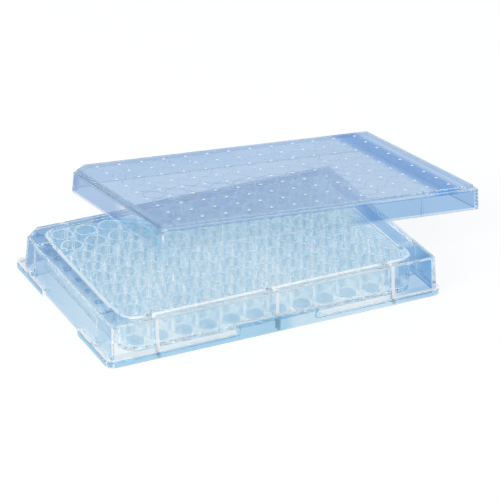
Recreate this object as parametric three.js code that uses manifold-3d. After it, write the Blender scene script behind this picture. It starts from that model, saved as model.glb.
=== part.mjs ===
// A clear 96-well plate with its lid taken off and laid askew on it.
//
// Units are millimetres and +Z is up. Both mouldings are drawn in the plate's frame: the middle of
// its footprint is at x = y = 0, it stands on z = 0, columns 1 to 12 run along +X and row A is at
// the back, towards +Y. The finished group is then moved so that its origin is the middle of the
// bench area that plate and lid cover together.
import * as THREE from 'three';
import { mergeVertices } from 'three/addons/utils/BufferGeometryUtils.js';
import Module from 'manifold-3d';

const wasm = await Module();
wasm.setup();

// ---- Well grid ----
const COLUMNS = 12;
const ROWS = 8;
const PITCH = 9;
const WELL_MOUTH_RADIUS = 3.43;
const WELL_FLOOR_RADIUS = 3.2;
const WELL_FLOOR_Z = 2.9;
const WELL_RIM_Z = 14.1;
const WELL_WALL = 0.75;
const WELL_SIDES = 12;

// ---- Plate ----
const FOOT_LENGTH = 127.76;
const FOOT_WIDTH = 85.48;
const FOOT_CORNER_RADIUS = 3.18;
const PLATE_HEIGHT = 14.35;
const FLANGE_HEIGHT = 2.41;
const FLANGE_PROJECTION = 1.3;
const BODY_DRAFT = 0.9;
const BODY_CORNER_RADIUS = 1;
const A1_CHAMFER = 5.8;
const PLATE_WALL = 1.2;
const FLOOR_SHEET = 1.2;
const PIT_GAP = 0.8;

// The flange rises in the middle of each long side and is left out in the middle of each short one.
const RAISED_FLANGE_LENGTH = 31.6;
const RAISED_FLANGE_HEIGHT = 6.1;
const FLANGE_BREAK_WIDTH = 31.8;

// Each end deck has a sunken tray between two webs, with a half-round lug outside each web.
const TRAY_WIDTH = 54.6;
const TRAY_DEPTH = 1;
const TRAY_CORNER_RADIUS = 1.6;
const END_WEB_FOOT_Z = 2.2;
const LUG_RADIUS = 1.3;
const LUG_SIDES = 8;

// Ribs join the long walls to the pit at whole columns from the middle.
const LONG_RIB_SPACING = 5 * PITCH;

// ---- Lid ----
const LID_CLEARANCE = 0.6;
const LID_WALL = 1;
const LID_DRAFT = 0.4;
const LID_SHOULDER_Z = 7.8;
const LID_STEP = 1.1;
const LID_SHOULDER_WIDTH = 1.2;
const LID_PANEL = 1.1;
const LID_CORNER_RADIUS = 0.8;
const LID_CHAMFER = 5.4;
const RING_RADIUS = 4;
const RING_HALF_WIDTH = 0.3;
const RING_DEPTH = 0.4;
const RING_ROOT = LID_PANEL / 4;
const RING_SIDES = 8;
const LID_RIB_X = 40;
const LID_RIB_WIDTH = 0.8;
const LID_RIB_DEPTH = 0.5;

// ---- How the lid lies ----
const LID_YAW = THREE.MathUtils.degToRad(0.33);
const LID_SHIFT = new THREE.Vector2(33.4, 31.9);
const REST_GAP = 0.3;
const REST_STEPS = 30;

// Cutters and joined pieces run this far past the faces they meet.
const OVERRUN = 0.5;

// Corners of a mesh that are closer than this are one.
const MERGE_DISTANCE = 1e-5;

// ---- Sizes that follow ----
const FOOT_HALF = new THREE.Vector2(FOOT_LENGTH / 2, FOOT_WIDTH / 2);
const WALL_FOOT_HALF = FOOT_HALF.clone().subScalar(FLANGE_PROJECTION);
const WALL_TOP_HALF = WALL_FOOT_HALF.clone().subScalar(BODY_DRAFT);
const GRID_HALF = new THREE.Vector2(COLUMNS - 1, ROWS - 1).multiplyScalar(PITCH / 2);
const TUBE_RADIUS = WELL_MOUTH_RADIUS + WELL_WALL;
const PIT_RADIUS = TUBE_RADIUS + PIT_GAP;
const PIT_HALF = GRID_HALF.clone().addScalar(PIT_RADIUS);
const SHEET_BOTTOM_Z = WELL_FLOOR_Z - FLOOR_SHEET;
const DECK_UNDERSIDE_Z = PLATE_HEIGHT - PLATE_WALL;
const TRAY_FLOOR_Z = PLATE_HEIGHT - TRAY_DEPTH;

const LID_MOUTH_HALF = WALL_TOP_HALF.clone().addScalar(LID_CLEARANCE + LID_DRAFT);
const LID_FOOT_HALF = LID_MOUTH_HALF.clone().addScalar(LID_WALL);
const LID_TOP_Z = LID_SHOULDER_Z + LID_STEP;

// ---- Materials ----
const clearPlastic = { roughness: 0.08, metalness: 0, transparent: true, opacity: 0.4 };
const plateMaterial = new THREE.MeshStandardMaterial({ color: 0xc4def0, ...clearPlastic });
const lidMaterial = new THREE.MeshStandardMaterial({ color: 0x9dbfe6, ...clearPlastic });

// ---- Mesh helpers ----

// A closed three.js geometry as a solid that can be joined and cut.
function solid(geometry) {
  const bare = geometry.clone();
  bare.deleteAttribute('normal');
  bare.deleteAttribute('uv');
  const merged = mergeVertices(bare, MERGE_DISTANCE);
  return new wasm.Manifold(new wasm.Mesh({
    numProp: 3,
    vertProperties: new Float32Array(merged.attributes.position.array),
    triVerts: new Uint32Array(merged.index.array),
  }));
}

function toMesh(name, body, material) {
  const shape = body.getMesh();
  const geometry = new THREE.BufferGeometry();
  geometry.setAttribute('position', new THREE.BufferAttribute(new Float32Array(shape.vertProperties), 3));
  geometry.setIndex(new THREE.BufferAttribute(new Uint32Array(shape.triVerts), 1));
  geometry.computeVertexNormals();
  const mesh = new THREE.Mesh(geometry, material);
  mesh.name = name;
  return mesh;
}

// A rectangle with rounded corners, and one corner cut off straight at -X, +Y where chamfer is set.
function plan(half, radius, chamfer = 0) {
  const shape = new THREE.Shape();
  shape.absarc(half.x - radius, -half.y + radius, radius, -Math.PI / 2, 0);
  shape.absarc(half.x - radius, half.y - radius, radius, 0, Math.PI / 2);
  if (chamfer > 0) {
    shape.lineTo(-half.x + chamfer, half.y);
    shape.lineTo(-half.x, half.y - chamfer);
  } else {
    shape.absarc(-half.x + radius, half.y - radius, radius, Math.PI / 2, Math.PI);
  }
  shape.absarc(-half.x + radius, -half.y + radius, radius, Math.PI, 1.5 * Math.PI);
  return shape;
}

// A plan raised from z0 to z1, its sides leaning in by draft over that height.
function raised(shape, z0, z1, draft = 0, arcSteps = 1) {
  const settings = { depth: z1 - z0, bevelEnabled: false, curveSegments: arcSteps };
  const geometry = new THREE.ExtrudeGeometry(shape, settings).translate(0, 0, z0);
  const position = geometry.attributes.position;
  const middle = (z0 + z1) / 2;
  for (let i = 0; i < position.count; i++) {
    if (position.getZ(i) < middle) continue;
    position.setX(i, position.getX(i) - Math.sign(position.getX(i)) * draft);
    position.setY(i, position.getY(i) - Math.sign(position.getY(i)) * draft);
  }
  return solid(geometry);
}

// A box from its two faces along each axis, which may be given in either order.
function box(xFaces, yFaces, zFaces) {
  const sides = [xFaces, yFaces, zFaces];
  const geometry = new THREE.BoxGeometry(...sides.map(([a, b]) => Math.abs(b - a)));
  return solid(geometry.translate(...sides.map(([a, b]) => (a + b) / 2)));
}

// The same upright geometry at every well of the grid, joined into one solid.
function atEveryWell(geometry) {
  const body = solid(geometry);
  const copies = [];
  for (let column = 0; column < COLUMNS; column++) {
    for (let row = 0; row < ROWS; row++) {
      copies.push(body.translate([column * PITCH - GRID_HALF.x, GRID_HALF.y - row * PITCH, 0]));
    }
  }
  return wasm.Manifold.union(copies);
}

function uprightCone(bottomRadius, topRadius, z0, z1) {
  const geometry = new THREE.CylinderGeometry(topRadius, bottomRadius, z1 - z0, WELL_SIDES);
  return geometry.rotateX(Math.PI / 2).translate(0, 0, (z0 + z1) / 2);
}

// ---- Plate pieces ----

const wallInset = (z) => BODY_DRAFT * z / PLATE_HEIGHT;

function outerBody() {
  let body = raised(plan(WALL_FOOT_HALF, BODY_CORNER_RADIUS, A1_CHAMFER), 0, PLATE_HEIGHT, BODY_DRAFT);
  let flange = raised(plan(FOOT_HALF, FOOT_CORNER_RADIUS), 0, FLANGE_HEIGHT, 0, 2);
  const breakHalf = FLANGE_BREAK_WIDTH / 2;
  const raisedHalf = RAISED_FLANGE_LENGTH / 2;
  for (const side of [-1, 1]) {
    const breakFaces = [side * (WALL_FOOT_HALF.x - PLATE_WALL), side * (FOOT_HALF.x + OVERRUN)];
    const flangeSpan = [-OVERRUN, FLANGE_HEIGHT + OVERRUN];
    flange = flange.subtract(box(breakFaces, [-breakHalf, breakHalf], flangeSpan));
    const raisedFaces = [side * FOOT_HALF.y, side * (WALL_TOP_HALF.y - OVERRUN)];
    body = body.add(box([-raisedHalf, raisedHalf], raisedFaces, [0, RAISED_FLANGE_HEIGHT]));
    for (const end of [-1, 1]) body = body.add(lug(side, end));
  }
  return body.add(flange);
}

// A half-round lug that lies across the flange outside an end web.
function lug(side, end) {
  const length = FLANGE_PROJECTION + BODY_DRAFT / 2;
  const geometry = new THREE.CylinderGeometry(LUG_RADIUS, LUG_RADIUS, length, LUG_SIDES).rotateZ(Math.PI / 2);
  const x = side * (FOOT_HALF.x - length / 2);
  return solid(geometry.translate(x, end * (TRAY_WIDTH / 2 + LUG_RADIUS), FLANGE_HEIGHT));
}

// The space inside the walls, and the wider foot of it that the flange follows.
function skirtHollow() {
  const innerHalf = WALL_FOOT_HALF.clone().subScalar(PLATE_WALL);
  const draft = wallInset(DECK_UNDERSIDE_Z);
  const cutDraft = draft * (DECK_UNDERSIDE_Z + OVERRUN) / DECK_UNDERSIDE_Z;
  const shape = plan(innerHalf.addScalar(cutDraft - draft), BODY_CORNER_RADIUS, A1_CHAMFER - PLATE_WALL / 2);
  let hollow = raised(shape, -OVERRUN, DECK_UNDERSIDE_Z, cutDraft);

  const toeHalf = FOOT_HALF.clone().subScalar(PLATE_WALL);
  const toeRadius = FOOT_CORNER_RADIUS - PLATE_WALL;
  let toe = raised(plan(toeHalf, toeRadius), -OVERRUN, FLANGE_HEIGHT - PLATE_WALL);
  const keepHalf = FLANGE_BREAK_WIDTH / 2 + PLATE_WALL;
  for (const side of [-1, 1]) {
    const keepFaces = [side * (WALL_FOOT_HALF.x - PLATE_WALL), side * (FOOT_HALF.x + OVERRUN)];
    toe = toe.subtract(box(keepFaces, [-keepHalf, keepHalf], [-PLATE_WALL, FLANGE_HEIGHT]));
  }
  const pocketHalf = RAISED_FLANGE_LENGTH / 2 - PLATE_WALL;
  const pocketSpan = [-OVERRUN, RAISED_FLANGE_HEIGHT - PLATE_WALL];
  hollow = hollow.add(toe);
  return hollow.add(box([-pocketHalf, pocketHalf], [-toeHalf.y, toeHalf.y], pocketSpan));
}

// The pit's wall and floor sheet, still solid, and the hollow that the wells stand in.
function pitBlock() {
  const outerHalf = PIT_HALF.clone().addScalar(PLATE_WALL);
  return raised(plan(outerHalf, PIT_RADIUS + PLATE_WALL), SHEET_BOTTOM_Z, PLATE_HEIGHT);
}

function pitHollow() {
  return raised(plan(PIT_HALF, PIT_RADIUS), WELL_FLOOR_Z, PLATE_HEIGHT + OVERRUN);
}

// A thicker deck under each tray and a web at each end of it.
function endWebs() {
  const pieces = [];
  const webHalf = TRAY_WIDTH / 2 + PLATE_WALL;
  const deckSpan = [TRAY_FLOOR_Z - PLATE_WALL, PLATE_HEIGHT - PLATE_WALL / 2];
  const webSpan = [END_WEB_FOOT_Z, DECK_UNDERSIDE_Z];
  for (const side of [-1, 1]) {
    const xFaces = [side * (PIT_HALF.x + PLATE_WALL / 2), side * (WALL_TOP_HALF.x - PLATE_WALL / 2)];
    pieces.push(box(xFaces, [-webHalf, webHalf], deckSpan));
    for (const end of [-1, 1]) pieces.push(box(xFaces, [end * TRAY_WIDTH / 2, end * webHalf], webSpan));
  }
  return pieces;
}

// Each tray is sunk into the deck behind a thin rim and runs out over the pit's wall.
function trays() {
  const depthFromRim = WALL_TOP_HALF.x - PLATE_WALL - PIT_HALF.x + PIT_RADIUS / 2;
  const half = new THREE.Vector2(depthFromRim / 2, TRAY_WIDTH / 2);
  const middle = WALL_TOP_HALF.x - PLATE_WALL - half.x;
  const radius = Math.min(TRAY_CORNER_RADIUS, half.x / 2);
  const tray = raised(plan(half, radius), TRAY_FLOOR_Z, PLATE_HEIGHT + OVERRUN);
  return [tray.translate([-middle, 0, 0]), tray.translate([middle, 0, 0])];
}

function longRibs() {
  const pieces = [];
  const halfRib = PLATE_WALL / 2;
  for (const place of [-1, 0, 1]) {
    const x = place * LONG_RIB_SPACING;
    for (const side of [-1, 1]) {
      const yFaces = [side * (PIT_HALF.y + halfRib), side * (WALL_TOP_HALF.y - halfRib)];
      pieces.push(box([x - halfRib, x + halfRib], yFaces, [0, DECK_UNDERSIDE_Z + halfRib]));
    }
  }
  return pieces;
}

function wellPlate() {
  let plate = outerBody().subtract(skirtHollow());
  for (const piece of [pitBlock(), ...endWebs(), ...longRibs()]) plate = plate.add(piece);
  for (const cut of [pitHollow(), ...trays()]) plate = plate.subtract(cut);

  const sheetMiddle = WELL_FLOOR_Z - FLOOR_SHEET / 2;
  plate = plate.add(atEveryWell(uprightCone(TUBE_RADIUS, TUBE_RADIUS, sheetMiddle, WELL_RIM_Z)));
  const flare = (WELL_MOUTH_RADIUS - WELL_FLOOR_RADIUS) * OVERRUN / (WELL_RIM_Z - WELL_FLOOR_Z);
  const cutTopZ = WELL_RIM_Z + OVERRUN;
  const bore = uprightCone(WELL_FLOOR_RADIUS, WELL_MOUTH_RADIUS + flare, WELL_FLOOR_Z, cutTopZ);
  return plate.subtract(atEveryWell(bore));
}

// ---- Lid, drawn upright with its rim on z = 0 ----

// The corner cut of an outline that lies inset inside the skirt's, with an even wall all round.
function lidChamfer(inset) {
  return LID_CHAMFER - inset * (2 - Math.SQRT2);
}

function lidShell() {
  const skirtTopHalf = LID_FOOT_HALF.clone().subScalar(LID_DRAFT);
  const plateauHalf = skirtTopHalf.clone().subScalar(LID_SHOULDER_WIDTH);
  const skirt = raised(plan(LID_FOOT_HALF, LID_CORNER_RADIUS, LID_CHAMFER), 0, LID_SHOULDER_Z, LID_DRAFT);
  const plateauChamfer = lidChamfer(LID_SHOULDER_WIDTH);
  const plateauPlan = plan(plateauHalf, LID_CORNER_RADIUS, plateauChamfer);
  const plateau = raised(plateauPlan, LID_SHOULDER_Z - OVERRUN, LID_TOP_Z);

  const mouthTop = LID_SHOULDER_Z - LID_PANEL;
  const slope = LID_DRAFT / mouthTop;
  const mouthHalf = LID_MOUTH_HALF.clone().addScalar(slope * OVERRUN);
  const mouthDraft = LID_DRAFT + slope * OVERRUN;
  const mouthPlan = plan(mouthHalf, LID_CORNER_RADIUS, lidChamfer(LID_WALL));
  const mouth = raised(mouthPlan, -OVERRUN, mouthTop, mouthDraft);
  const ceilingHalf = plateauHalf.clone().subScalar(LID_PANEL);
  const ceilingPlan = plan(ceilingHalf, LID_CORNER_RADIUS, lidChamfer(LID_SHOULDER_WIDTH + LID_PANEL));
  const ceiling = raised(ceilingPlan, 0, LID_TOP_Z - LID_PANEL);
  return skirt.add(plateau).subtract(mouth).subtract(ceiling);
}

// A small ridge under the panel, round the mouth of the well below it.
function ringRidge() {
  const ceilingZ = LID_TOP_Z - LID_PANEL;
  const root = ceilingZ + RING_ROOT;
  const spread = RING_HALF_WIDTH * (1 + RING_ROOT / RING_DEPTH);
  const profile = [
    new THREE.Vector2(RING_RADIUS - spread, root),
    new THREE.Vector2(RING_RADIUS, ceilingZ - RING_DEPTH),
    new THREE.Vector2(RING_RADIUS + spread, root),
    new THREE.Vector2(RING_RADIUS - spread, root),
  ];
  return new THREE.LatheGeometry(profile, RING_SIDES).rotateX(Math.PI / 2);
}

// Slim ribs down the inside of the two long skirts.
function lidRibs() {
  const pieces = [];
  const halfRib = LID_RIB_WIDTH / 2;
  for (const x of [-LID_RIB_X, LID_RIB_X]) {
    for (const side of [-1, 1]) {
      const yFaces = [side * (LID_MOUTH_HALF.y - LID_RIB_DEPTH), side * (LID_MOUTH_HALF.y + LID_WALL / 4)];
      pieces.push(box([x - halfRib, x + halfRib], yFaces, [0, LID_SHOULDER_Z - LID_PANEL / 2]));
    }
  }
  return pieces;
}

function lid() {
  let shell = lidShell();
  for (const rib of lidRibs()) shell = shell.add(rib);
  return shell.add(atEveryWell(ringRidge()));
}

// ---- The lid at rest ----

// The lid lies on three places: the rim of its left skirt on the plate's back edge, the rim of its
// front skirt on the plate's right edge, and its back right corner on the bench. The tilt and the
// height that meet all three follow from the sizes, found by stepping towards them.
function restingLidMatrix() {
  const left = -LID_MOUTH_HALF.x;
  const front = -LID_MOUTH_HALF.y;
  const rounding = LID_CORNER_RADIUS * (1 - Math.SQRT1_2);
  const corner = new THREE.Vector3(LID_FOOT_HALF.x - rounding, LID_FOOT_HALF.y - rounding, 0);
  const up = new THREE.Vector3(0, 0, 1);
  const matrix = new THREE.Matrix4().makeRotationZ(LID_YAW).setPosition(LID_SHIFT.x, LID_SHIFT.y, 0);
  for (let step = 0; step < REST_STEPS; step++) {
    const at = (x, y) => new THREE.Vector3(x, y, 0).applyMatrix4(matrix);
    const onBack = along(at(left, front), at(left, -front), 'y', WALL_TOP_HALF.y);
    const onRight = along(at(left, front), at(-left, front), 'x', WALL_TOP_HALF.x);
    const onBench = corner.clone().applyMatrix4(matrix);
    onBack.z = PLATE_HEIGHT;
    onRight.z = PLATE_HEIGHT;
    onBench.z = 0;
    const normal = onRight.clone().sub(onBack).cross(onBench.clone().sub(onBack)).normalize();
    const tilt = new THREE.Quaternion().setFromUnitVectors(up, normal);
    const turn = new THREE.Quaternion().setFromAxisAngle(up, LID_YAW);
    const reach = (LID_SHIFT.x - onBack.x) * normal.x + (LID_SHIFT.y - onBack.y) * normal.y;
    const height = PLATE_HEIGHT - reach / normal.z;
    const place = new THREE.Vector3(LID_SHIFT.x, LID_SHIFT.y, height);
    matrix.compose(place, tilt.multiply(turn), new THREE.Vector3(1, 1, 1));
  }
  return new THREE.Matrix4().makeTranslation(0, 0, REST_GAP).multiply(matrix);
}

// The point between a and b whose coordinate on one axis has the given value.
function along(a, b, axis, value) {
  return a.clone().lerp(b, (value - a[axis]) / (b[axis] - a[axis]));
}

// ---- Assembly ----

const plateMesh = toMesh('well_plate', wellPlate(), plateMaterial);
const lidMesh = toMesh('lid', lid(), lidMaterial);

const restingLid = new THREE.Group();
restingLid.applyMatrix4(restingLidMatrix());
restingLid.add(lidMesh);

const setOut = new THREE.Group();
setOut.add(plateMesh, restingLid);
const covered = new THREE.Box3().setFromObject(setOut, true);
const middle = covered.getCenter(new THREE.Vector3());
setOut.position.set(-middle.x, -middle.y, 0);

const wellPlateSet = new THREE.Group();
wellPlateSet.add(setOut);

export default wellPlateSet;
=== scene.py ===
import math

import bmesh
import bpy
from mathutils import Matrix, Quaternion, Vector


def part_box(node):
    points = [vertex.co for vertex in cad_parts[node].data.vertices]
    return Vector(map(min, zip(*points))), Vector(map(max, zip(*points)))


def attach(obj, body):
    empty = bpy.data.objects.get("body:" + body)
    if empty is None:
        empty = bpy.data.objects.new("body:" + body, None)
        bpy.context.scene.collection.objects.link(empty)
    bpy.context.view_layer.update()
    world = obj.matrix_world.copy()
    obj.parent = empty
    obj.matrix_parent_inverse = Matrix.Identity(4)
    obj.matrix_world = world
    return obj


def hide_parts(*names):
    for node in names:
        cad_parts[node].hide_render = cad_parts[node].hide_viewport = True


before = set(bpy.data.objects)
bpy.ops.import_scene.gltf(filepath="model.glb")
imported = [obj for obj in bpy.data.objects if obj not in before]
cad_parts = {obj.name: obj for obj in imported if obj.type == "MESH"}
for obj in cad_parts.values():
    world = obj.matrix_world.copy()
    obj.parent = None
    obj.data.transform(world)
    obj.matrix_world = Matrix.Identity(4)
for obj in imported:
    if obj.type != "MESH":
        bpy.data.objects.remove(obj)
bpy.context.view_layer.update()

MM = 0.001

# ---- Plate sizes, in millimetres ----
COLUMNS = 12
ROW_NAMES = "ABCDEFGH"
ROWS = len(ROW_NAMES)
PITCH = 9.0
WELL_MOUTH_RADIUS = 3.43
WELL_FLOOR_RADIUS = 3.2
WELL_FLOOR_Z = 2.9
WELL_RIM_Z = 14.1
WELL_WALL = 0.75
FOOT_HALF = Vector((63.88, 42.74))
FOOT_CORNER_RADIUS = 3.18
PLATE_HEIGHT = 14.35
FLANGE_HEIGHT = 2.41
FLANGE_PROJECTION = 1.3
BODY_DRAFT = 0.9
BODY_CORNER_RADIUS = 1.0
A1_CHAMFER = 5.8
PLATE_WALL = 1.2
FLOOR_SHEET = 1.2
PIT_GAP = 0.8
RAISED_FLANGE_LENGTH = 31.6
RAISED_FLANGE_HEIGHT = 6.1
FLANGE_BREAK_WIDTH = 31.8
TRAY_WIDTH = 54.6
TRAY_DEPTH = 1.0
TRAY_CORNER_RADIUS = 1.6
END_WEB_FOOT_Z = 2.2
LUG_RADIUS = 1.3
LONG_RIB_SPACING = 5 * PITCH
LONG_RIB_PLACES = (-LONG_RIB_SPACING, 0.0, LONG_RIB_SPACING)
LETTER_SIZE = 4.0
LETTER_BOLDNESS = 0.12
LETTER_HEIGHT = 0.08
LETTER_X = -57.5
LETTER_OFFSET_Y = 2.6

WALL_FOOT_HALF = FOOT_HALF - Vector((FLANGE_PROJECTION, FLANGE_PROJECTION))
WALL_TOP_HALF = WALL_FOOT_HALF - Vector((BODY_DRAFT, BODY_DRAFT))
GRID_HALF = Vector((COLUMNS - 1, ROWS - 1)) * PITCH / 2
TUBE_RADIUS = WELL_MOUTH_RADIUS + WELL_WALL
PIT_RADIUS = TUBE_RADIUS + PIT_GAP
PIT_HALF = GRID_HALF + Vector((PIT_RADIUS, PIT_RADIUS))
SHEET_BOTTOM_Z = WELL_FLOOR_Z - FLOOR_SHEET
DECK_UNDERSIDE_Z = PLATE_HEIGHT - PLATE_WALL
TRAY_FLOOR_Z = PLATE_HEIGHT - TRAY_DEPTH
TRAY_SEAM_X = PIT_HALF.x + PLATE_WALL
WALL_SEAM_Z = 4.0

# ---- Lid sizes ----
LID_CLEARANCE = 0.6
LID_WALL = 1.0
LID_DRAFT = 0.4
LID_SHOULDER_Z = 7.8
LID_STEP = 1.1
LID_SHOULDER_WIDTH = 1.2
LID_PANEL = 1.1
LID_CORNER_RADIUS = 1.0
LID_CHAMFER = 5.4
RING_RADIUS = 4.0
RING_HALF_WIDTH = 0.35
RING_DEPTH = 0.12
LID_RIB_X = 40.0
LID_RIB_WIDTH = 0.8
LID_RIB_DEPTH = 0.5
PIP_RADIUS = 0.6
PIP_HEIGHT = 0.2

LID_MOUTH_HALF = WALL_TOP_HALF + Vector((1, 1)) * (LID_CLEARANCE + LID_DRAFT)
LID_FOOT_HALF = LID_MOUTH_HALF + Vector((LID_WALL, LID_WALL))
LID_TOP_Z = LID_SHOULDER_Z + LID_STEP
LID_SEAM_Z = 0.9

# ---- How the lid lies on the plate ----
LID_YAW = math.radians(0.33)
LID_SHIFT = Vector((33.4, 31.9))
REST_GAP = 0.3
REST_ROUNDS = 30
CAD_LID_CORNER_RADIUS = 0.8

# ---- Fineness ----
EDGE = 0.3
CORNER_STEPS = 6
EDGE_STEPS = 3
WELL_SIDES = 40
LUG_SIDES = 24
LETTER_STEPS = 2
PIP_SIDES = 12
PIP_STEPS = 3
SHARP_ANGLE = 35
OVERRUN = 0.5
SMALLEST_RADIUS = 0.05
SEAM_WELD = 0.0001
LETTER_WELD = 0.0005


# ---- Mesh building ----

def mesh_object(name, points, faces):
    """An object in the scene with the given points and faces."""
    mesh = bpy.data.meshes.new(name)
    mesh.from_pydata([tuple(p) for p in points], [], faces)
    made = bpy.data.objects.new(name, mesh)
    bpy.context.scene.collection.objects.link(made)
    return made


def outline(half, radius, chamfer=0.0):
    """A rounded rectangle, counter-clockwise, with the corner at -X, +Y cut off where chamfer is set."""
    corners = [(1, -1, -90), (1, 1, 0), (-1, 1, 90), (-1, -1, 180)]
    points = []
    for side_x, side_y, start in corners:
        if chamfer and (side_x, side_y) == (-1, 1):
            points += [(-half.x + chamfer, half.y), (-half.x, half.y - chamfer)]
            continue
        for step in range(CORNER_STEPS + 1):
            turn = math.radians(start + 90 * step / CORNER_STEPS)
            x = side_x * (half.x - radius) + radius * math.cos(turn)
            y = side_y * (half.y - radius) + radius * math.sin(turn)
            points.append((x, y))
    return points


def loft(name, half, radius, levels, chamfer=0.0, centre=(0, 0)):
    """A closed solid through outlines at rising levels, each (z, how far the outline lies inside)."""
    points = []
    for z, inset in levels:
        inner = half - Vector((inset, inset))
        corner = max(radius - inset, SMALLEST_RADIUS)
        points += [(x + centre[0], y + centre[1], z) for x, y in outline(inner, corner, chamfer)]
    count = len(points) // len(levels)
    faces = [tuple(reversed(range(count))), tuple(range(len(points) - count, len(points)))]
    for level in range(len(levels) - 1):
        for i in range(count):
            low, next_low = level * count + i, level * count + (i + 1) % count
            faces.append((low, next_low, next_low + count, low + count))
    return mesh_object(name, points, faces)


def rounded_top(z, inset, radius):
    """Levels that turn a side into a flat top at z with a quarter round."""
    angles = [math.radians(90 * step / EDGE_STEPS) for step in range(EDGE_STEPS + 1)]
    return [(z - radius + radius * math.sin(a), inset + radius * (1 - math.cos(a))) for a in angles]


def flared_top(z, inset, radius):
    """Levels of a cutter that leave a quarter round where it comes out of a flat top at z."""
    angles = [math.radians(90 * step / EDGE_STEPS) for step in range(EDGE_STEPS + 1)]
    flare = [(z - radius + radius * math.sin(a), inset - radius * (1 - math.cos(a))) for a in angles]
    return flare + [(z + OVERRUN, inset - radius)]


def rounded_foot(z, inset, radius):
    """Levels of a solid that starts flat at z and turns up into its side with a quarter round."""
    angles = [math.radians(90 * step / EDGE_STEPS) for step in range(EDGE_STEPS + 1)]
    return [(z + radius * (1 - math.cos(a)), inset + radius * (1 - math.sin(a))) for a in angles]


def box(name, x_faces, y_faces, z_faces):
    """A block between two faces along each axis, given in either order."""
    points = [(x, y, z) for z in sorted(z_faces) for y in sorted(y_faces) for x in sorted(x_faces)]
    faces = [(0, 2, 3, 1), (4, 5, 7, 6), (0, 1, 5, 4), (1, 3, 7, 5), (3, 2, 6, 7), (2, 0, 4, 6)]
    return mesh_object(name, points, faces)


def ring_at_every_well(name, profile):
    """A closed profile of (radius, z), counter-clockwise, turned round the axis of each well."""
    points, faces = [], []
    count = len(profile)
    for column in range(COLUMNS):
        for row in range(ROWS):
            first = len(points)
            x0, y0 = column * PITCH - GRID_HALF.x, GRID_HALF.y - row * PITCH
            for side in range(WELL_SIDES):
                turn = 2 * math.pi * side / WELL_SIDES
                points += [(x0 + r * math.cos(turn), y0 + r * math.sin(turn), z) for r, z in profile]
            for side in range(WELL_SIDES):
                here, there = first + side * count, first + (side + 1) % WELL_SIDES * count
                for i in range(count):
                    j = (i + 1) % count
                    faces.append((here + i, there + i, there + j, here + j))
    return mesh_object(name, points, faces)


def combine(body, operation, tools):
    """body joined with, or cut by, each of the tools in turn, which are used up."""
    for tool in tools:
        modifier = body.modifiers.new(tool.name, "BOOLEAN")
        modifier.operation = operation
        modifier.solver = "MANIFOLD"
        modifier.object = tool
    bpy.context.view_layer.update()
    depsgraph = bpy.context.evaluated_depsgraph_get()
    result = bpy.data.meshes.new_from_object(body.evaluated_get(depsgraph))
    body.modifiers.clear()
    body.data = result
    for tool in tools:
        bpy.data.objects.remove(tool)
    return body


def add_seams(body, axis, places, beyond_y=0.0):
    """Cuts the faces of body along planes square to an axis, so that each side can have its own looks.
    Only faces that lie further than beyond_y from the middle are cut."""
    shape = bmesh.new()
    shape.from_mesh(body.data)
    for place in places:
        point, normal = Vector(), Vector()
        point[axis], normal[axis] = place, 1
        cut = [face for face in shape.faces if abs(face.calc_center_median().y) >= beyond_y]
        around = dict.fromkeys(part for face in cut for part in [*face.verts, *face.edges])
        geometry = [*around, *cut]
        bmesh.ops.bisect_plane(shape, geom=geometry, dist=SEAM_WELD, plane_co=point, plane_no=normal)
    shape.to_mesh(body.data)
    shape.free()


# ---- Plate ----

def wall_inset(z):
    """How far the drafted outer wall lies inside its foot at a height."""
    return BODY_DRAFT * z / PLATE_HEIGHT


def outer_body():
    """The drafted block of the plate with its flange, the raised flanges and the lugs."""
    top = rounded_top(PLATE_HEIGHT, wall_inset(PLATE_HEIGHT), EDGE)
    seam = (WALL_SEAM_Z, wall_inset(WALL_SEAM_Z))
    body = loft("plate", WALL_FOOT_HALF, BODY_CORNER_RADIUS, [(0, 0), seam] + top, A1_CHAMFER)
    foot_edge = [(0, 0)] + rounded_top(FLANGE_HEIGHT, 0, EDGE / 2)
    flange = loft("flange", FOOT_HALF, FOOT_CORNER_RADIUS, foot_edge)
    break_half = FLANGE_BREAK_WIDTH / 2
    breaks, raised = [], []
    for side in (-1, 1):
        x_faces = (side * (WALL_FOOT_HALF.x - PLATE_WALL), side * (FOOT_HALF.x + OVERRUN))
        breaks.append(box("break", x_faces, (-break_half, break_half), (-OVERRUN, FLANGE_HEIGHT + OVERRUN)))
        depth = (FOOT_HALF.y - WALL_TOP_HALF.y + OVERRUN) / 2
        half = Vector((RAISED_FLANGE_LENGTH / 2, depth))
        levels = [(0, 0)] + rounded_top(RAISED_FLANGE_HEIGHT, 0, EDGE / 2)
        raised.append(loft("raised", half, EDGE, levels, centre=(0, side * (FOOT_HALF.y - depth))))
        for end in (-1, 1):
            raised.append(lug(side, end))
    combine(flange, "DIFFERENCE", breaks)
    return combine(body, "UNION", [flange] + raised)


def lug(side, end):
    """A half-round lug that lies across the flange outside an end web."""
    length = FLANGE_PROJECTION + BODY_DRAFT / 2
    x_faces = sorted((side * FOOT_HALF.x, side * (FOOT_HALF.x - length)))
    y0 = end * (TRAY_WIDTH / 2 + LUG_RADIUS)
    points = []
    for x in x_faces:
        for i in range(LUG_SIDES):
            turn = 2 * math.pi * i / LUG_SIDES
            points.append((x, y0 + LUG_RADIUS * math.cos(turn), FLANGE_HEIGHT + LUG_RADIUS * math.sin(turn)))
    faces = [tuple(reversed(range(LUG_SIDES))), tuple(range(LUG_SIDES, 2 * LUG_SIDES))]
    for i in range(LUG_SIDES):
        j = (i + 1) % LUG_SIDES
        faces.append((i, j, LUG_SIDES + j, LUG_SIDES + i))
    return mesh_object("lug", points, faces)


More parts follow.
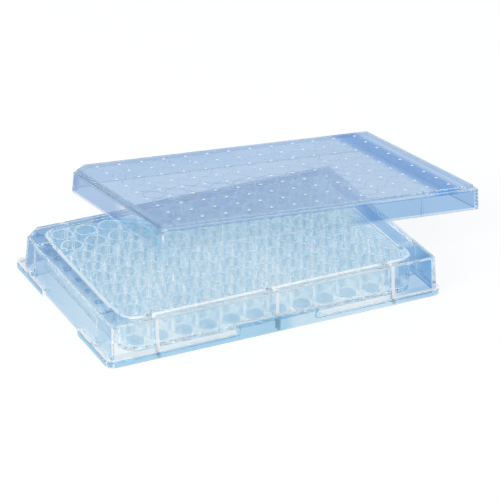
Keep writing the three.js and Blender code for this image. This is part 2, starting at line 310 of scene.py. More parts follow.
def skirt_hollow():
    """The open space under the deck, the flange and the raised flanges, as one cutter."""
    inner = WALL_FOOT_HALF - Vector((PLATE_WALL, PLATE_WALL))
    levels = [(-OVERRUN, wall_inset(-OVERRUN)), (DECK_UNDERSIDE_Z, wall_inset(DECK_UNDERSIDE_Z))]
    hollow = loft("hollow", inner, BODY_CORNER_RADIUS, levels, A1_CHAMFER - PLATE_WALL / 2)

    toe_half = FOOT_HALF - Vector((PLATE_WALL, PLATE_WALL))
    toe_levels = [(-OVERRUN, 0), (FLANGE_HEIGHT - PLATE_WALL, 0)]
    toe = loft("toe", toe_half, FOOT_CORNER_RADIUS - PLATE_WALL, toe_levels)
    keep_half = FLANGE_BREAK_WIDTH / 2 + PLATE_WALL
    keeps = []
    for side in (-1, 1):
        x_faces = (side * (WALL_FOOT_HALF.x - PLATE_WALL), side * (FOOT_HALF.x + OVERRUN))
        keeps.append(box("keep", x_faces, (-keep_half, keep_half), (-PLATE_WALL, FLANGE_HEIGHT)))
    combine(toe, "DIFFERENCE", keeps)
    pocket_half = RAISED_FLANGE_LENGTH / 2 - PLATE_WALL
    pocket_z = (-OVERRUN, RAISED_FLANGE_HEIGHT - PLATE_WALL)
    pocket = box("pocket", (-pocket_half, pocket_half), (-toe_half.y, toe_half.y), pocket_z)
    return combine(hollow, "UNION", [toe, pocket])


def pit_block():
    """The pit's wall and floor sheet, before the pit is hollowed out."""
    half = PIT_HALF + Vector((PLATE_WALL, PLATE_WALL))
    foot = rounded_foot(SHEET_BOTTOM_Z, 0, EDGE / 3)
    return loft("pit_block", half, PIT_RADIUS + PLATE_WALL, foot + [(PLATE_HEIGHT - EDGE, 0)])


def pit_hollow():
    """The cutter that opens the pit down to its floor sheet."""
    foot = rounded_foot(WELL_FLOOR_Z, 0, EDGE)
    return loft("pit_hollow", PIT_HALF, PIT_RADIUS, foot + flared_top(PLATE_HEIGHT, 0, EDGE))


def end_webs():
    """The deck under each tray and the upright webs at the tray's two ends."""
    pieces = []
    web_half = TRAY_WIDTH / 2 + PLATE_WALL
    deck_z = (TRAY_FLOOR_Z - PLATE_WALL, PLATE_HEIGHT - PLATE_WALL / 2)
    for side in (-1, 1):
        x_faces = (side * (PIT_HALF.x + PLATE_WALL / 2), side * (WALL_TOP_HALF.x - PLATE_WALL / 2))
        pieces.append(box("tray_deck", x_faces, (-web_half, web_half), deck_z))
        for end in (-1, 1):
            y_faces = (end * TRAY_WIDTH / 2, end * web_half)
            pieces.append(box("end_web", x_faces, y_faces, (END_WEB_FOOT_Z, DECK_UNDERSIDE_Z)))
    return pieces


def trays():
    """The shallow trays beside the pit. Each is cut in two steps, which leaves a seam in its floor where
    it comes over the pit's wall."""
    depth = WALL_TOP_HALF.x - PLATE_WALL - PIT_HALF.x + PIT_RADIUS / 2
    half = Vector((depth, TRAY_WIDTH)) / 2
    middle = WALL_TOP_HALF.x - PLATE_WALL - half.x
    levels = rounded_foot(TRAY_FLOOR_Z, 0, EDGE) + flared_top(PLATE_HEIGHT, 0, EDGE / 2)
    cutters = []
    for side in (-1, 1):
        x_faces = (side * (PIT_HALF.x - PIT_RADIUS / 2), side * TRAY_SEAM_X)
        y_faces = (-TRAY_WIDTH / 2, TRAY_WIDTH / 2)
        cutters.append(box("tray_mouth", x_faces, y_faces, (TRAY_FLOOR_Z, PLATE_HEIGHT + OVERRUN)))
        cutters.append(loft("tray", half, TRAY_CORNER_RADIUS, levels, centre=(side * middle, 0)))
    return cutters


def letters():
    """Raised row letters on the left tray, and on the deck before and behind it, A at the back."""
    half_letter = LETTER_SIZE / 3
    solids = []
    for row, letter in enumerate(ROW_NAMES):
        text = bpy.data.curves.new("letter", "FONT")
        text.body = letter
        text.size = LETTER_SIZE
        text.offset = LETTER_BOLDNESS
        text.extrude = LETTER_HEIGHT
        text.resolution_u = LETTER_STEPS
        text.align_x = "CENTER"
        drawn = bpy.data.objects.new("letter", text)
        mesh = bpy.data.meshes.new_from_object(drawn)
        bpy.data.objects.remove(drawn)
        y = GRID_HALF.y - row * PITCH + LETTER_OFFSET_Y - half_letter
        floor_z = TRAY_FLOOR_Z if abs(y) < TRAY_WIDTH / 2 - LETTER_SIZE else PLATE_HEIGHT
        mesh.transform(Matrix.Translation((LETTER_X, y, floor_z)))
        shape = bmesh.new()
        shape.from_mesh(mesh)
        bmesh.ops.remove_doubles(shape, verts=shape.verts, dist=LETTER_WELD)
        bmesh.ops.dissolve_degenerate(shape, edges=shape.edges, dist=LETTER_WELD)
        bmesh.ops.recalc_face_normals(shape, faces=shape.faces)
        shape.to_mesh(mesh)
        shape.free()
        solid = bpy.data.objects.new("letter_" + letter.lower(), mesh)
        bpy.context.scene.collection.objects.link(solid)
        solids.append(solid)
    return solids


def long_ribs():
    """Upright ribs between the pit and the two long walls."""
    pieces = []
    half_rib = PLATE_WALL / 2
    for x in LONG_RIB_PLACES:
        for side in (-1, 1):
            y_faces = (side * (PIT_HALF.y + half_rib), side * (WALL_TOP_HALF.y - half_rib))
            pieces.append(box("rib", (x - half_rib, x + half_rib), y_faces, (0, DECK_UNDERSIDE_Z + half_rib)))
    return pieces


def well_profile():
    """The wall of a well, from its foot up outside, over the round rim and down the bore."""
    def bore_radius(z):
        rise = (z - WELL_FLOOR_Z) / (WELL_RIM_Z - WELL_FLOOR_Z)
        return WELL_FLOOR_RADIUS + (WELL_MOUTH_RADIUS - WELL_FLOOR_RADIUS) * rise
    sunk = WELL_FLOOR_Z - FLOOR_SHEET / 2
    fillet = EDGE
    profile = [(WELL_FLOOR_RADIUS - fillet, sunk)]
    for step in range(EDGE_STEPS + 1):
        turn = math.radians(90 * step / EDGE_STEPS)
        z = WELL_FLOOR_Z + fillet * (1 - math.cos(turn))
        profile.append((bore_radius(WELL_FLOOR_Z) - fillet * (1 - math.sin(turn)), z))
    rim = EDGE / 3
    for inner, middle in ((-1, WELL_MOUTH_RADIUS + rim), (1, TUBE_RADIUS - rim)):
        for step in range(EDGE_STEPS + 1):
            turn = math.radians(90 * step / EDGE_STEPS)
            lean, rise = (math.cos(turn), math.sin(turn)) if inner < 0 else (math.sin(turn), math.cos(turn))
            profile.append((middle + inner * rim * lean, WELL_RIM_Z - rim + rim * rise))
    profile.append((TUBE_RADIUS, sunk))
    return profile[::-1]


def make_plate():
    """The whole plate as one solid, in its own frame, with seams where its looks change."""
    plate = combine(outer_body(), "DIFFERENCE", [skirt_hollow()])
    combine(plate, "UNION", [pit_block()] + end_webs() + long_ribs())
    combine(plate, "DIFFERENCE", [pit_hollow()] + trays())
    wells = ring_at_every_well("wells", well_profile())
    combine(plate, "UNION", [wells] + letters())
    add_seams(plate, 0, (-PIT_HALF.x - EDGE, PIT_HALF.x + EDGE))
    add_seams(plate, 1, (-PIT_HALF.y - EDGE, PIT_HALF.y + EDGE))
    # Seams at the ribs' faces, so that the front wall in front of each rib can carry a painted highlight.
    rib_edges = [x + side * PLATE_WALL / 2 for x in LONG_RIB_PLACES for side in (-1, 1)]
    add_seams(plate, 0, rib_edges, WALL_TOP_HALF.y - EDGE)
    return plate


# ---- Lid, drawn upright with its rim on z = 0 ----

def lid_chamfer(inset):
    """The corner cut of an outline that lies inset inside the skirt's, with an even wall all round."""
    return LID_CHAMFER - inset * (2 - math.sqrt(2))


def make_lid():
    """The whole lid as one solid, in its own frame, with seams where its looks change."""
    skirt_top_half = LID_FOOT_HALF - Vector((LID_DRAFT, LID_DRAFT))
    plateau_half = skirt_top_half - Vector((LID_SHOULDER_WIDTH, LID_SHOULDER_WIDTH))
    foot = [(0, EDGE / 2), (EDGE / 2, 0), (LID_SEAM_Z, LID_DRAFT * LID_SEAM_Z / LID_SHOULDER_Z)]
    skirt = foot + rounded_top(LID_SHOULDER_Z, LID_DRAFT, EDGE)
    lid = loft("lid_shell", LID_FOOT_HALF, LID_CORNER_RADIUS, skirt, LID_CHAMFER)
    levels = [(LID_SHOULDER_Z - OVERRUN, 0)] + rounded_top(LID_TOP_Z, 0, EDGE)
    plateau = loft("plateau", plateau_half, LID_CORNER_RADIUS, levels, lid_chamfer(LID_SHOULDER_WIDTH))

    mouth_top = LID_SHOULDER_Z - LID_PANEL
    slope = LID_DRAFT / mouth_top
    mouth = [(-OVERRUN, -slope * OVERRUN), (mouth_top, LID_DRAFT)]
    mouth = loft("mouth", LID_MOUTH_HALF, LID_CORNER_RADIUS, mouth, lid_chamfer(LID_WALL))
    ceiling_half = plateau_half - Vector((LID_PANEL, LID_PANEL))
    levels = [(0, 0)] + rounded_top(LID_TOP_Z - LID_PANEL, 0, EDGE)
    chamfer = lid_chamfer(LID_SHOULDER_WIDTH + LID_PANEL)
    ceiling = loft("ceiling", ceiling_half, LID_CORNER_RADIUS, levels, chamfer)

    combine(lid, "UNION", [plateau])
    combine(lid, "DIFFERENCE", [mouth, ceiling])
    rings = ring_at_every_well("rings", ring_profile())
    combine(lid, "UNION", [rings, glint_pips()] + lid_ribs())
    add_seams(lid, 1, (EDGE - plateau_half.y, plateau_half.y - EDGE))
    return lid


def lid_ribs():
    """Slim ribs down the inside of the two long skirts."""
    pieces = []
    half_rib = LID_RIB_WIDTH / 2
    for x in (-LID_RIB_X, LID_RIB_X):
        for side in (-1, 1):
            y_faces = (side * (LID_MOUTH_HALF.y - LID_RIB_DEPTH), side * (LID_MOUTH_HALF.y + LID_WALL / 4))
            z_faces = (0, LID_SHOULDER_Z - LID_PANEL / 2)
            pieces.append(box("lid_rib", (x - half_rib, x + half_rib), y_faces, z_faces))
    return pieces


def glint_pips():
    """Small domes on the panel, one wherever four rings meet below it. They stand in for glints on the
    rings: their look is a painted glint, opaque white.
    """
    points, faces = [], []
    for column in range(COLUMNS + 1):
        for row in range(ROWS + 1):
            x0, y0 = column * PITCH - GRID_HALF.x - PITCH / 2, GRID_HALF.y + PITCH / 2 - row * PITCH
            first = len(points)
            levels = [(PIP_RADIUS, LID_TOP_Z - LID_PANEL / 4)]
            for step in range(PIP_STEPS):
                turn = math.radians(90 * step / PIP_STEPS)
                levels.append((PIP_RADIUS * math.cos(turn), LID_TOP_Z + PIP_HEIGHT * math.sin(turn)))
            for r, z in levels:
                for side in range(PIP_SIDES):
                    turn = 2 * math.pi * side / PIP_SIDES
                    points.append((x0 + r * math.cos(turn), y0 + r * math.sin(turn), z))
            points.append((x0, y0, LID_TOP_Z + PIP_HEIGHT))
            faces.append(tuple(first + side for side in reversed(range(PIP_SIDES))))
            for level in range(len(levels) - 1):
                for side in range(PIP_SIDES):
                    here = first + level * PIP_SIDES + side
                    there = first + level * PIP_SIDES + (side + 1) % PIP_SIDES
                    faces.append((here, there, there + PIP_SIDES, here + PIP_SIDES))
            last = first + (len(levels) - 1) * PIP_SIDES
            for side in range(PIP_SIDES):
                faces.append((last + side, last + (side + 1) % PIP_SIDES, len(points) - 1))
    return mesh_object("glint_pips", points, faces)


def ring_profile():
    """A rounded ridge under the panel, with its root inside the panel."""
    ceiling_z = LID_TOP_Z - LID_PANEL
    root = ceiling_z + LID_PANEL / 4
    spread = RING_HALF_WIDTH
    tip = ceiling_z - RING_DEPTH + RING_HALF_WIDTH
    profile = [(RING_RADIUS - spread, root)]
    for step in range(2 * EDGE_STEPS + 1):
        turn = math.pi * (1 + step / (2 * EDGE_STEPS))
        profile.append((RING_RADIUS + spread * math.cos(turn), tip + spread * math.sin(turn)))
    profile.append((RING_RADIUS + spread, root))
    return profile


# ---- The lid at rest ----

def along(a, b, axis, value):
    """The point on the line from a to b where one coordinate has the given value."""
    return a.lerp(b, (value - a[axis]) / (b[axis] - a[axis]))


def resting_lid_matrix():
    """Sets the lid down on three places and lifts it by the gap that is kept between the solids. Its
    left skirt meets the plate's back edge, its front skirt the plate's right edge, and its back right
    corner the bench."""
    left, front = -LID_MOUTH_HALF.x, -LID_MOUTH_HALF.y
    rounding = CAD_LID_CORNER_RADIUS * (1 - math.sqrt(0.5))
    corner = Vector((LID_FOOT_HALF.x - rounding, LID_FOOT_HALF.y - rounding, 0))
    up = Vector((0, 0, 1))
    turn = Quaternion(up, LID_YAW)
    matrix = Matrix.Translation((LID_SHIFT.x, LID_SHIFT.y, 0)) @ turn.to_matrix().to_4x4()
    for _ in range(REST_ROUNDS):
        front_left = matrix @ Vector((left, front, 0))
        on_back = along(front_left, matrix @ Vector((left, -front, 0)), 1, WALL_TOP_HALF.y)
        on_right = along(front_left, matrix @ Vector((-left, front, 0)), 0, WALL_TOP_HALF.x)
        on_bench = matrix @ corner
        on_back.z = on_right.z = PLATE_HEIGHT
        on_bench.z = 0
        normal = (on_right - on_back).cross(on_bench - on_back).normalized()
        reach = (LID_SHIFT - on_back.to_2d()).dot(normal.to_2d())
        place = Vector((LID_SHIFT.x, LID_SHIFT.y, PLATE_HEIGHT - reach / normal.z))
        tilt = up.rotation_difference(normal)
        matrix = Matrix.Translation(place) @ (tilt @ turn).to_matrix().to_4x4()
    return Matrix.Translation((0, 0, REST_GAP)) @ matrix


# ---- Materials ----

PLASTIC_IOR = 1.59
PLASTIC_ROUGHNESS = 0.02
FLOW_SCALE = 60.0
DRIFT_FROM, DRIFT_TO = 0.35, 0.65
DRIFT_TINT = (0.93, 0.96, 0.98)
WHITE = (1.0, 1.0, 1.0)


def add_node(tree, kind, **settings):
    made = tree.nodes.new(kind)
    for name, value in settings.items():
        setattr(made, name, value)
    return made


def tint_along(tree, place, axis, stops):
    """A tint that changes along the X or Y axis, through stops of (place in millimetres, tint)."""
    first, last = stops[0][0], stops[-1][0]
    split = add_node(tree, "ShaderNodeSeparateXYZ")
    reach = add_node(tree, "ShaderNodeMapRange")
    reach.inputs["From Min"].default_value = first * MM
    reach.inputs["From Max"].default_value = last * MM
    ramp = add_node(tree, "ShaderNodeValToRGB")
    ramp.color_ramp.interpolation = "EASE"
    elements = ramp.color_ramp.elements
    while len(elements) < len(stops):
        elements.new(0.5)
    for element, (at, tint) in zip(elements, stops):
        element.position = (at - first) / (last - first)
        element.color = (*tint, 1)
    tree.links.new(place.outputs["Object"], split.inputs["Vector"])
    tree.links.new(split.outputs[axis], reach.inputs["Value"])
    tree.links.new(reach.outputs["Result"], ramp.inputs["Fac"])
    return ramp.outputs["Color"]


def clear_plastic(name, flow, tint=WHITE, axis="X", stops=None, clearness=1.0, coat=0.0, ior=PLASTIC_IOR):
    """Clear plastic with one tint, or with stops of it along an axis. The tint drifts a little along
    the mould's flow."""
    material = bpy.data.materials.new(name)
    material.use_nodes = True
    tree = material.node_tree
    shader = tree.nodes["Principled BSDF"]
    shader.inputs["Transmission Weight"].default_value = clearness
    shader.inputs["Roughness"].default_value = PLASTIC_ROUGHNESS
    shader.inputs["IOR"].default_value = ior
    shader.inputs["Coat Weight"].default_value = coat

    place = add_node(tree, "ShaderNodeTexCoord")
    stretch = add_node(tree, "ShaderNodeMapping")
    stretch.inputs["Scale"].default_value = flow
    cloud = add_node(tree, "ShaderNodeTexNoise")
    cloud.inputs["Scale"].default_value = FLOW_SCALE
    drift = add_node(tree, "ShaderNodeValToRGB")
    plain, drifted = drift.color_ramp.elements
    plain.position, plain.color = DRIFT_FROM, (*WHITE, 1)
    drifted.position, drifted.color = DRIFT_TO, (*DRIFT_TINT, 1)
    blend = add_node(tree, "ShaderNodeMix", data_type="RGBA", blend_type="MULTIPLY")
    blend.inputs["Factor"].default_value = 1.0
    tree.links.new(place.outputs["Object"], stretch.inputs["Vector"])
    tree.links.new(stretch.outputs["Vector"], cloud.inputs["Vector"])
    tree.links.new(cloud.outputs["Fac"], drift.inputs["Fac"])
    tree.links.new(drift.outputs["Color"], blend.inputs["B"])
    if stops:
        tree.links.new(tint_along(tree, place, axis, stops), blend.inputs["A"])
    else:
        blend.inputs["A"].default_value = (*tint, 1)
    tree.links.new(blend.outputs["Result"], shader.inputs["Base Color"])
    return material


def finish_piece(piece, name, node, placing, flow, looks, region):
    """Moves a piece from millimetres in its own frame to the row frame, and dresses it. looks gives the
    plastic of each region by name, and region says which of them a face is in."""
    numbers = {title: number for number, title in enumerate(looks)}
    indices = [numbers[region(face)] for face in piece.data.polygons]
    piece.data.materials.clear()
    for title, look in looks.items():
        piece.data.materials.append(clear_plastic(f"{name}_{title}", flow, **look))
    piece.data.polygons.foreach_set("material_index", indices)
    piece.data.transform(Matrix.Scale(MM, 4) @ placing)
    piece.data.update()
    piece.data.shade_smooth()
    piece.data.set_sharp_from_angle(angle=math.radians(SHARP_ANGLE))
    weighted = piece.modifiers.new("flat_faces_stay_flat", "WEIGHTED_NORMAL")
    weighted.keep_sharp = True
    piece.name = "clear_" + name
    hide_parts(node)
    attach(piece, "root")


# ---- Regions, which share a look ----

FLAT = 0.95      # a face lies flat, or faces an axis squarely, from this share of its normal
FACING = 0.8     # a wall faces an axis from this share of its normal
UPRIGHT = 0.7    # a face belongs to the lid's skirt below this upward or downward share
SLOPING = 0.2    # a face belongs to the rounding of a top edge from this upward share
FORWARD = -0.1   # that rounding looks to the front below this share along Y
NEAR = 0.1       # millimetres allowed where a region ends at a surface
TOUCH = 0.02     # millimetres allowed between equal heights
LETTER_REACH = 0.2


def off_nearest(place, centre):
    """How far a place lies from the nearest of a row of points, one pitch apart and one at centre."""
    return (place - centre + PITCH / 2) % PITCH - PITCH / 2


def plate_region(face):
    """The region of the plate that a face is in."""
    x, y, z = face.center
    normal = face.normal
    by_letters = abs(x - LETTER_X) < LETTER_SIZE / 2 and TOUCH < z - TRAY_FLOOR_Z < LETTER_REACH
    if by_letters or z > PLATE_HEIGHT + TOUCH:
        return "letters"
    if abs(normal.z) > FLAT and z > TRAY_FLOOR_Z - PLATE_WALL - NEAR:
        return deck_region(x, y, z)
    if max(abs(x) - FOOT_HALF.x, abs(y) - FOOT_HALF.y) > -NEAR:
        return "flange"
    by_ribs = abs(x) < LONG_RIB_SPACING + PLATE_WALL and PIT_HALF.y < abs(y) < WALL_TOP_HALF.y
    if by_ribs and abs(normal.x) > FLAT:
        return "ribs"
    beyond_pit = max(abs(x) - PIT_HALF.x, abs(y) - PIT_HALF.y)
    if beyond_pit < -PIT_GAP / 2 and z > WELL_RIM_Z - EDGE / 2:
        return "rims"
    by_end_webs = abs(x) > PIT_HALF.x + PLATE_WALL and abs(y) < TRAY_WIDTH / 2 + 2 * PLATE_WALL
    if by_end_webs and abs(normal.y) > FLAT:
        return "edges"
    inside_wall = min(WALL_TOP_HALF.x - abs(x), WALL_TOP_HALF.y - abs(y))
    if beyond_pit > NEAR and inside_wall < 2 * PLATE_WALL:
        return wall_region(x, y, z, normal, inside_wall)
    # Top roundings away from the outer walls, chiefly round the pit's mouth: painted shade, a dark line.
    if z > PLATE_HEIGHT - EDGE:
        return "shaded_pit_rim"
    if beyond_pit > PLATE_WALL + NEAR:
        return "right_end" if x > PIT_HALF.x else "shell"
    return pit_region(x, y, z, face)


def deck_region(x, y, z):
    """The region of a level face at or near the top of the plate."""
    if abs(z - WELL_RIM_Z) < TOUCH:
        return "rims"
    if y < -PIT_HALF.y - EDGE:
        return "front_deck"
    if x > PIT_HALF.x:
        return "right_end"
    if abs(y) < TRAY_WIDTH / 2 and z < TRAY_FLOOR_Z + NEAR:
        return "tray" if abs(x) > TRAY_SEAM_X else "tray_mouth"
    return "deck"


def wall_region(x, y, z, normal, inside_wall):
    """The region of a face in or near the plate's outer walls."""
    # Level faces by the walls, chiefly the flange's top: a painted highlight, a white line.
    if abs(normal.z) > FLAT and inside_wall < PLATE_WALL / 2:
        return "flange_top_highlight"
    if SLOPING < normal.z < FLAT:
        return "top_edge" if z > PLATE_HEIGHT - EDGE else "edges"
    if abs(normal.y) > FACING and y < 0:
        # The front wall in front of each rib: a painted highlight, a white bar.
        if min(abs(x - place) for place in LONG_RIB_PLACES) < PLATE_WALL / 2:
            return "rib_highlight_lines"
        return "front_foot" if z < WALL_SEAM_Z and normal.y < 0 else "front_wall"
    if x > PIT_HALF.x:
        return "right_end"
    return "left_wall" if x < -PIT_HALF.x and abs(normal.x) > FACING else "shell"


def pit_region(x, y, z, face):
    """The region of a face of the wells, the floor sheet or the pit's wall."""
    if z < SHEET_BOTTOM_Z + EDGE:
        return "sheet"
    if face.normal.z > FLAT and face.area > math.pi * WELL_FLOOR_RADIUS ** 2:
        return "wells"
    off_axis = math.hypot(off_nearest(x, GRID_HALF.x), off_nearest(y, GRID_HALF.y))
    # The floor of each well: painted shade, dark blue.
    if z < WELL_FLOOR_Z + EDGE and off_axis < WELL_FLOOR_RADIUS:
        return "shaded_well_floors"
    return "bores" if off_axis < WELL_MOUTH_RADIUS + WELL_WALL / 2 else "wells"


def lid_region(face):
    """The region of the lid that a face is in."""
    x, y, z = face.center
    normal = face.normal
    if z < LID_SEAM_Z:
        return "foot"
    # The pips' tops: a painted glint, opaque white.
    if z > LID_TOP_Z and math.hypot(off_nearest(x, 0), off_nearest(y, 0)) < PIP_RADIUS:
        return "glint_pips"
    # Roundings of the upper edges: the front one is painted light, nearly clear, and the others painted
    # shade, dark.
    if z > LID_SHOULDER_Z - EDGE and SLOPING < normal.z < FLAT:
        return "lit_front_edge" if normal.y < FORWARD else "edges"
    # The shoulder's front strip is a painted highlight, nearly opaque white; the rest is plain shoulder.
    if normal.z > FLAT and z < LID_TOP_Z - EDGE:
        return "front_shoulder_highlight" if y < EDGE + LID_SHOULDER_WIDTH - LID_FOOT_HALF.y else "shoulder"
    if abs(normal.z) < UPRIGHT and z < LID_SHOULDER_Z:
        if y > LID_MOUTH_HALF.y - LID_WALL or x > LID_MOUTH_HALF.x - LID_WALL:
            return "far_skirt"
        if x < -LID_MOUTH_HALF.x + LID_WALL:
            return "left_skirt"
        if y < -LID_MOUTH_HALF.y + LID_WALL:
            return "front_skirt"
    # Discs inside the rings of the last column: painted reflection, dark blue.
    off_last_column = math.hypot(x - GRID_HALF.x, off_nearest(y, GRID_HALF.y))
    if normal.z < -FLAT and off_last_column < RING_RADIUS - RING_HALF_WIDTH:
        return "dark_reflection_discs"
    return "panel"


# ---- Looks ----

low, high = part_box("well_plate")
plate_middle = (low + high) / 2 / MM
set_out = Matrix.Translation((plate_middle.x, plate_middle.y, 0))
lid_placing = set_out @ resting_lid_matrix()


def plate_stops(*stops):
    """Stops given along the plate, in the row frame."""
    return [(x + plate_middle.x, tint) for x, tint in stops]


def side_stops(*stops):
    """Stops given from the front of the plate to its back, in the row frame."""
    return [(y + plate_middle.y, tint) for y, tint in stops]


def panel_stops(*stops):
    """Stops given along the middle of the lid's panel, in the row frame."""
    return [((lid_placing @ Vector((x, 0, LID_TOP_Z))).x, tint) for x, tint in stops]


def skirt_stops(*stops):
    """Stops given along the lid's left skirt, from its front to its back, in the row frame."""
    middle_z = LID_SHOULDER_Z / 2
    return [((lid_placing @ Vector((-LID_FOOT_HALF.x, y, middle_z))).y, tint) for y, tint in stops]


PLATE_FLOW = (1, 1, 0.3)
PLATE_LOOKS = {
    "shell": dict(tint=(0.35, 0.56, 0.77)),
    "deck": dict(tint=(0.52, 0.71, 0.88)),
    "rims": dict(tint=(0.30, 0.54, 0.80)),
    "wells": dict(tint=(0.955, 0.977, 0.983), coat=1.0),
    # Painted shade: the well floors are dark blue, darkest at the back and darker again in the front row.
    "shaded_well_floors": dict(axis="Y", stops=side_stops(
        (-30, (0.22, 0.44, 0.70)), (-22, (0.36, 0.58, 0.78)), (30, (0.16, 0.38, 0.66)))),
    # Light leaves the sheet's underside almost unbent, so that none of it stays trapped in the sheet.
    "sheet": dict(tint=(0.92, 0.96, 0.98), ior=1.05),
    # Painted shade: the front wall is almost clear and deepens to blue towards its right end.
    "front_wall": dict(stops=plate_stops(
        (-60, (0.90, 0.96, 0.99)), (-48, (0.91, 0.97, 0.99)), (40, (0.91, 0.97, 0.99)),
        (54, (0.42, 0.63, 0.84)))),
    # Painted reflection: the flange is dark blue towards its left and pale towards its right.
    "flange": dict(stops=plate_stops((2, (0.19, 0.47, 0.74)), (7, (0.42, 0.66, 0.83)))),
    "edges": dict(tint=(0.82, 0.91, 0.96), coat=1.0),
    "ribs": dict(tint=(0.99, 1.0, 1.0), coat=1.0),
    # Painted shade: the front deck is pale in the middle, bluer at its left end and dark blue at its right
    # end.
    "front_deck": dict(stops=plate_stops(
        (-60, (0.66, 0.82, 0.92)), (-50, (0.88, 0.95, 0.975)), (42, (0.88, 0.95, 0.975)),
        (57, (0.24, 0.48, 0.76)))),
    "tray": dict(axis="Y", stops=side_stops((-28, (0.60, 0.78, 0.90)), (-6, (0.42, 0.62, 0.80)))),
    "tray_mouth": dict(tint=(0.56, 0.74, 0.90)),
    # Painted highlight: partly opaque white, so that the flange's top shows as a white line.
    "flange_top_highlight": dict(clearness=0.8, coat=1.0),
    # Painted shade: the foot of the front wall deepens a little at its left end and to dark blue at its right
    # end.
    "front_foot": dict(stops=plate_stops(
        (-60, (0.62, 0.78, 0.90)), (-40, (0.72, 0.86, 0.94)), (40, (0.72, 0.86, 0.94)),
        (54, (0.30, 0.52, 0.78)))),
    # Painted shade: the left wall deepens to darker blue towards its back corner.
    "left_wall": dict(axis="Y", stops=side_stops(
        (-40, (0.50, 0.71, 0.86)), (-12, (0.50, 0.70, 0.86)), (28, (0.36, 0.58, 0.80)))),
    "letters": dict(tint=(0.10, 0.26, 0.56)),
    # Painted shade: the right end is dark blue at its front and paler further back.
    "right_end": dict(axis="Y", stops=side_stops((-34, (0.34, 0.60, 0.83)), (-24, (0.64, 0.79, 0.93)))),
    "bores": dict(tint=(0.94, 0.97, 0.98)),
    # Painted highlight: nearly opaque white bars down the front wall where the ribs meet it.
    "rib_highlight_lines": dict(clearness=0.15, coat=1.0),
    # Painted shade: a very dark blue that makes the rounding round the pit's mouth a dark line.
    "shaded_pit_rim": dict(tint=(0.12, 0.34, 0.60)),
    "top_edge": dict(tint=(0.40, 0.64, 0.83)),
}

LID_FLOW = (1, 0.4, 1)
LID_LOOKS = {
    # Painted reflection: a dark blue band across the panel over the last column of wells.
    "panel": dict(stops=panel_stops(
        (43, (0.42, 0.62, 0.87)), (49, (0.05, 0.30, 0.74)), (54, (0.05, 0.30, 0.74)),
        (58, (0.42, 0.62, 0.87)))),
    "shoulder": dict(tint=(0.30, 0.48, 0.66)),
    # Painted light: the left skirt is pale towards its front, where the plate shows through it, and deep blue
    # further back.
    "left_skirt": dict(axis="Y", stops=skirt_stops((-16, (0.80, 0.88, 0.92)), (2, (0.34, 0.50, 0.73)))),
    # Painted light: the front skirt is pale towards its left, where the wells show through it, and deep blue
    # from the middle to the right.
    "front_skirt": dict(stops=panel_stops(
        (8, (0.84, 0.91, 0.93)), (20, (0.34, 0.56, 0.80)), (40, (0.34, 0.54, 0.79)))),
    "far_skirt": dict(tint=(0.86, 0.92, 0.98)),
    # Painted shade: the roundings of the lid's upper edges are dark greyish blue, and the front one is
    # painted light, nearly clear.
    "edges": dict(tint=(0.35, 0.48, 0.68)),
    "lit_front_edge": dict(tint=(0.92, 0.95, 1.0)),
    # Painted glints: the pips are opaque white.
    "glint_pips": dict(clearness=0.0, coat=1.0),
    # Painted highlight: the lid's foot is a little milky white, so that it shows as a pale line.
    "foot": dict(tint=(0.97, 0.99, 1.0), clearness=0.9, coat=1.0),
    # Painted reflection: dark blue discs inside the rings of the last column.
    "dark_reflection_discs": dict(tint=(0.06, 0.31, 0.75)),
    # Painted highlight: the front strip of the shoulder is nearly opaque white.
    "front_shoulder_highlight": dict(clearness=0.3, coat=1.0),
}

finish_piece(make_plate(), "plate", "well_plate", set_out, PLATE_FLOW, PLATE_LOOKS, plate_region)
finish_piece(make_lid(), "lid", "lid", lid_placing, LID_FLOW, LID_LOOKS, lid_region)


# ---- Floor, light and camera ----

FLOOR_HALF = 2.0
FLOOR_COLOUR = (0.9, 0.91, 0.92)
FLOOR_ROUGHNESS = 0.9
FLOOR_GLOW = 1.05
FLOOR_GLOW_SHARE = 0.85
ROOM_COLOUR = (0.80, 0.88, 1.0)
ROOM_STRENGTH = 0.6
LIGHT_BOUNCES = 64

CAMERA_AZIMUTH = math.radians(-116.01)
CAMERA_ELEVATION = math.radians(26.776)
CAMERA_ROLL = math.radians(0.357)
CAMERA_DISTANCE = 1.00225
CAMERA_TARGET = Vector((17.69, 17.18, 0))
CAMERA_SENSOR = 36.0
CAMERA_LENS = 198.75
CAMERA_REACH = 20.0


def seen_through(tree):
    """1 for rays from the camera, a mirror or clear plastic, and 0 for rays that light the object."""
    path = add_node(tree, "ShaderNodeLightPath")
    total = path.outputs["Is Camera Ray"]
    for ray in ("Is Glossy Ray", "Is Transmission Ray"):
        join = add_node(tree, "ShaderNodeMath", operation="MAXIMUM")
        tree.links.new(total, join.inputs[0])
        tree.links.new(path.outputs[ray], join.inputs[1])
        total = join.outputs[0]
    return total


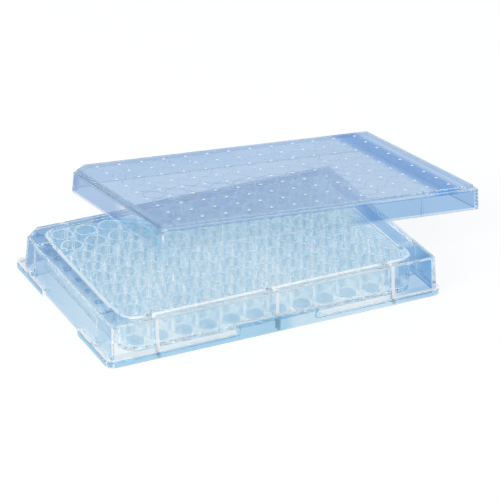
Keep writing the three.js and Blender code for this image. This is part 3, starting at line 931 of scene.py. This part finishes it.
def make_floor():
    """A pale matt floor that glows white where the camera sees it, straight or through the plastic."""
    half = FLOOR_HALF
    points = [(-half, -half, 0), (half, -half, 0), (half, half, 0), (-half, half, 0)]
    floor = mesh_object("floor", points, [(0, 1, 2, 3)])
    material = bpy.data.materials.new("white_floor")
    material.use_nodes = True
    tree = material.node_tree
    paper = tree.nodes["Principled BSDF"]
    paper.inputs["Base Color"].default_value = (*FLOOR_COLOUR, 1)
    paper.inputs["Roughness"].default_value = FLOOR_ROUGHNESS
    glow = add_node(tree, "ShaderNodeEmission")
    glow.inputs["Strength"].default_value = FLOOR_GLOW
    share = add_node(tree, "ShaderNodeMath", operation="MULTIPLY")
    share.inputs[1].default_value = FLOOR_GLOW_SHARE
    mix = add_node(tree, "ShaderNodeMixShader")
    tree.links.new(seen_through(tree), share.inputs[0])
    tree.links.new(share.outputs[0], mix.inputs[0])
    tree.links.new(paper.outputs[0], mix.inputs[1])
    tree.links.new(glow.outputs[0], mix.inputs[2])
    tree.links.new(mix.outputs[0], tree.nodes["Material Output"].inputs["Surface"])
    floor.data.materials.append(material)


def make_world():
    """A pale blue room that lights the object, in front of a white background."""
    world = bpy.data.worlds.new("studio")
    bpy.context.scene.world = world
    world.use_nodes = True
    tree = world.node_tree
    room = tree.nodes["Background"]
    room.inputs["Color"].default_value = (*ROOM_COLOUR, 1)
    room.inputs["Strength"].default_value = ROOM_STRENGTH
    white = add_node(tree, "ShaderNodeBackground")
    mix = add_node(tree, "ShaderNodeMixShader")
    tree.links.new(seen_through(tree), mix.inputs[0])
    tree.links.new(room.outputs[0], mix.inputs[1])
    tree.links.new(white.outputs[0], mix.inputs[2])
    tree.links.new(mix.outputs[0], tree.nodes["World Output"].inputs["Surface"])


def make_lamp(name, place, size, watts):
    """A square lamp that faces the row's origin. Its place and size are in metres."""
    lamp = bpy.data.lights.new(name, "AREA")
    lamp.size = size
    lamp.energy = watts
    holder = bpy.data.objects.new(name, lamp)
    holder.location = place
    holder.rotation_euler = (-Vector(place)).to_track_quat("-Z", "Y").to_euler()
    bpy.context.scene.collection.objects.link(holder)


def make_camera():
    """Looks from the front left, a long way off, at the angle and framing of the reference view."""
    level, rise = math.cos(CAMERA_ELEVATION), math.sin(CAMERA_ELEVATION)
    away = Vector((level * math.cos(CAMERA_AZIMUTH), level * math.sin(CAMERA_AZIMUTH), rise))
    target = CAMERA_TARGET * MM + Vector((plate_middle.x, plate_middle.y, 0)) * MM
    camera = bpy.data.objects.new("camera", bpy.data.cameras.new("camera"))
    camera.location = target + CAMERA_DISTANCE * away
    aim = (-away).to_track_quat("-Z", "Y")
    camera.rotation_euler = (aim @ Quaternion((0, 0, 1), CAMERA_ROLL)).to_euler()
    camera.data.sensor_width = CAMERA_SENSOR
    camera.data.lens = CAMERA_LENS
    camera.data.clip_end = CAMERA_REACH
    bpy.context.scene.collection.objects.link(camera)
    bpy.context.scene.camera = camera


make_floor()
make_world()
make_lamp("key", (-0.83, -0.30, 0.47), size=0.6, watts=5.0)
make_lamp("fill", (0.7, -0.5, 0.6), size=0.8, watts=1.5)
make_lamp("back", (-0.6, 0.7, 0.5), size=0.5, watts=1.5)
make_camera()

scene = bpy.context.scene
scene.view_settings.view_transform = "Standard"
scene.cycles.max_bounces = LIGHT_BOUNCES
scene.cycles.transmission_bounces = LIGHT_BOUNCES
scene.cycles.glossy_bounces = LIGHT_BOUNCES
